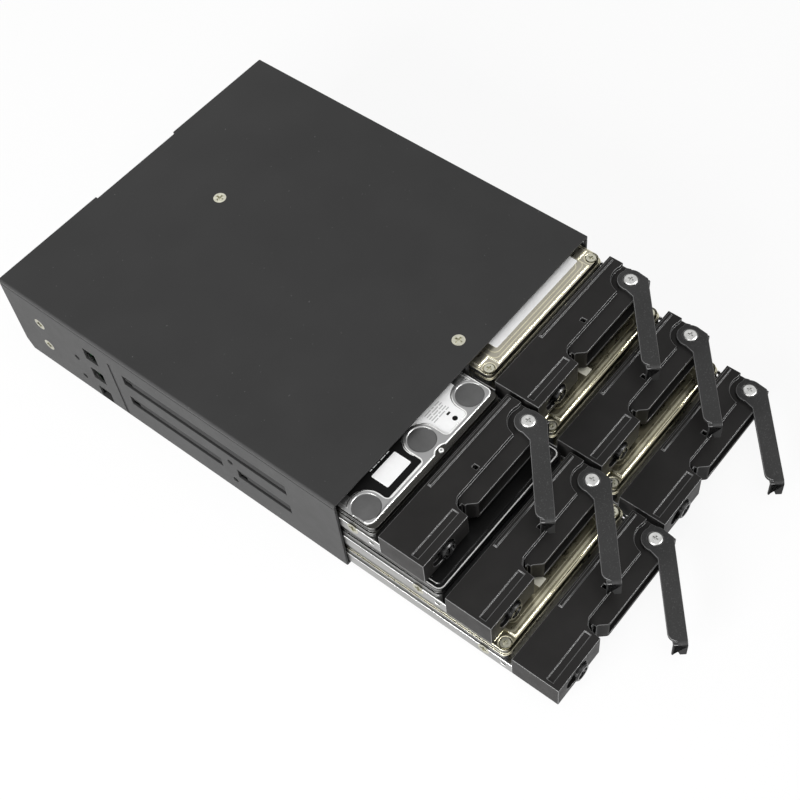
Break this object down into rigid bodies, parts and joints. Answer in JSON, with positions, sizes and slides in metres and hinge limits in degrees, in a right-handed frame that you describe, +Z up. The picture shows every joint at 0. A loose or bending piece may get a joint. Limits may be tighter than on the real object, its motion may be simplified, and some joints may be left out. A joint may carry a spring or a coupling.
{
  "type": "hot swap drive cage",
  "caption": "Black sheet-metal cage for small drives: lockable trays with swing-out levers slide out in side-by-side columns and plug into a backplane with rear fans.",
  "frame": {"origin": "centre of the cage's flat underside, under the middle of the sheet-metal box", "axes": "-Y towards the front, where the trays come out; +Y towards the cable and fan side; +Z up; +X to the right seen from the front"},
  "size_m": [0.146, 0.2821, 0.0413],
  "materials": {
    "cage_steel": "fine matt black paint",
    "tray_plastic": "fine-grained matt black",
    "lever_plastic": "matt dark grey with fine grain",
    "runner_plastic": "smooth matt",
    "bright_steel": "bright plated sheet",
    "screw_steel": "bright nickel plate",
    "lock_metal": "satin die-cast",
    "circuit_board": "dark green solder mask",
    "connector_plastic": "matt black",
    "fan_plastic": "satin black",
    "drive_silver": "satin, with pressed lid",
    "drive_bronze": "satin, warm tint",
    "drive_dark": "smooth black"
  },
  "bodies": {
    "cage": {"chassis": "cage_steel", "top_cover": "cage_steel", "centre_divider": "cage_steel", "runner_strips": "runner_plastic", "backplane_board": "circuit_board", "board_brackets": "bright_steel", "board_screws": "screw_steel", "drive_sockets": "connector_plastic", "data_ports": "connector_plastic", "power_ports": "connector_plastic", "rear_panel": "cage_steel", "fan_frames": "fan_plastic", "fan_screws": "screw_steel", "cover_screws": "screw_steel", "side_screws": "screw_steel"},
    "rotor_left": {"fan_rotor_left": "fan_plastic"},
    "rotor_right": {"fan_rotor_right": "fan_plastic"},
    "carrier_left_low": {"tray_left_low": "tray_plastic", "pan_left_low": "bright_steel", "drive_left_low": "drive_bronze", "drive_screws_left_low": "screw_steel", "pivot_screw_left_low": "screw_steel"},
    "lever_arm_left_low": {"lever_left_low": "lever_plastic"},
    "lock_plug_left_low": {"lock_left_low": "lock_metal"},
    "carrier_right_low": {"tray_right_low": "tray_plastic", "pan_right_low": "bright_steel", "drive_right_low": "drive_bronze", "drive_screws_right_low": "screw_steel", "pivot_screw_right_low": "screw_steel"},
    "lever_arm_right_low": {"lever_right_low": "lever_plastic"},
    "lock_plug_right_low": {"lock_right_low": "lock_metal"},
    "carrier_left_middle": {"tray_left_middle": "tray_plastic", "pan_left_middle": "bright_steel", "drive_left_middle": "drive_dark", "drive_screws_left_middle": "screw_steel", "pivot_screw_left_middle": "screw_steel"},
    "lever_arm_left_middle": {"lever_left_middle": "lever_plastic"},
    "lock_plug_left_middle": {"lock_left_middle": "lock_metal"},
    "carrier_right_middle": {"tray_right_middle": "tray_plastic", "pan_right_middle": "bright_steel", "drive_right_middle": "drive_bronze", "drive_screws_right_middle": "screw_steel", "pivot_screw_right_middle": "screw_steel"},
    "lever_arm_right_middle": {"lever_right_middle": "lever_plastic"},
    "lock_plug_right_middle": {"lock_right_middle": "lock_metal"},
    "carrier_left_top": {"tray_left_top": "tray_plastic", "pan_left_top": "bright_steel", "drive_left_top": "drive_silver", "drive_screws_left_top": "screw_steel", "pivot_screw_left_top": "screw_steel"},
    "lever_arm_left_top": {"lever_left_top": "lever_plastic"},
    "lock_plug_left_top": {"lock_left_top": "lock_metal"},
    "carrier_right_top": {"tray_right_top": "tray_plastic", "pan_right_top": "bright_steel", "drive_right_top": "drive_silver", "drive_screws_right_top": "screw_steel", "pivot_screw_right_top": "screw_steel"},
    "lever_arm_right_top": {"lever_right_top": "lever_plastic"},
    "lock_plug_right_top": {"lock_right_top": "lock_metal"}
  },
  "joints": [
    {"name": "rotor_left_spin", "type": "hinge", "parent": "cage", "child": "rotor_left", "pos_m": [-0.0465, 0.0635, 0.02065], "axis": [0, 1, 0], "continuous": true},
    {"name": "rotor_right_spin", "type": "hinge", "parent": "cage", "child": "rotor_right", "pos_m": [0.0465, 0.0635, 0.02065], "axis": [0, 1, 0], "continuous": true},
    {"name": "slide_left_low", "type": "slide", "parent": "cage", "child": "carrier_left_low", "axis": [0, -1, 0], "range_m": [-0.087, 0.0332]},
    {"name": "lever_pivot_left_low", "type": "hinge", "parent": "carrier_left_low", "child": "lever_arm_left_low", "pos_m": [-0.00575, -0.1678, 0.0126], "axis": [0, 0, 1], "range_deg": [-40, 0]},
    {"name": "lock_turn_left_low", "type": "hinge", "parent": "carrier_left_low", "child": "lock_plug_left_low", "pos_m": [-0.05955, -0.1742, 0.0078], "axis": [0, 1, 0], "range_deg": [0, 90]},
    {"name": "slide_right_low", "type": "slide", "parent": "cage", "child": "carrier_right_low", "axis": [0, -1, 0], "range_m": [-0.0803, 0.0399]},
    {"name": "lever_pivot_right_low", "type": "hinge", "parent": "carrier_right_low", "child": "lever_arm_right_low", "pos_m": [0.06675, -0.1611, 0.0126], "axis": [0, 0, 1], "range_deg": [-40, 0]},
    {"name": "lock_turn_right_low", "type": "hinge", "parent": "carrier_right_low", "child": "lock_plug_right_low", "pos_m": [0.01295, -0.1675, 0.0078], "axis": [0, 1, 0], "range_deg": [0, 90]},
    {"name": "slide_left_middle", "type": "slide", "parent": "cage", "child": "carrier_left_middle", "axis": [0, -1, 0], "range_m": [-0.0598, 0.0604]},
    {"name": "lever_pivot_left_middle", "type": "hinge", "parent": "carrier_left_middle", "child": "lever_arm_left_middle", "pos_m": [-0.00575, -0.1406, 0.0251], "axis": [0, 0, 1], "range_deg": [-40, 0]},
    {"name": "lock_turn_left_middle", "type": "hinge", "parent": "carrier_left_middle", "child": "lock_plug_left_middle", "pos_m": [-0.05955, -0.147, 0.0203], "axis": [0, 1, 0], "range_deg": [0, 90]},
    {"name": "slide_right_middle", "type": "slide", "parent": "cage", "child": "carrier_right_middle", "axis": [0, -1, 0], "range_m": [-0.0531, 0.0671]},
    {"name": "lever_pivot_right_middle", "type": "hinge", "parent": "carrier_right_middle", "child": "lever_arm_right_middle", "pos_m": [0.06675, -0.1339, 0.0251], "axis": [0, 0, 1], "range_deg": [-40, 0]},
    {"name": "lock_turn_right_middle", "type": "hinge", "parent": "carrier_right_middle", "child": "lock_plug_right_middle", "pos_m": [0.01295, -0.1403, 0.0203], "axis": [0, 1, 0], "range_deg": [0, 90]},
    {"name": "slide_left_top", "type": "slide", "parent": "cage", "child": "carrier_left_top", "axis": [0, -1, 0], "range_m": [-0.0326, 0.0876]},
    {"name": "lever_pivot_left_top", "type": "hinge", "parent": "carrier_left_top", "child": "lever_arm_left_top", "pos_m": [-0.00575, -0.1134, 0.0376], "axis": [0, 0, 1], "range_deg": [-40, 0]},
    {"name": "lock_turn_left_top", "type": "hinge", "parent": "carrier_left_top", "child": "lock_plug_left_top", "pos_m": [-0.05955, -0.1198, 0.0328], "axis": [0, 1, 0], "range_deg": [0, 90]},
    {"name": "slide_right_top", "type": "slide", "parent": "cage", "child": "carrier_right_top", "axis": [0, -1, 0], "range_m": [-0.0259, 0.0943]},
    {"name": "lever_pivot_right_top", "type": "hinge", "parent": "carrier_right_top", "child": "lever_arm_right_top", "pos_m": [0.06675, -0.1067, 0.0376], "axis": [0, 0, 1], "range_deg": [-40, 0]},
    {"name": "lock_turn_right_top", "type": "hinge", "parent": "carrier_right_top", "child": "lock_plug_right_top", "pos_m": [0.01295, -0.1131, 0.0328], "axis": [0, 1, 0], "range_deg": [0, 90]}
  ]
}
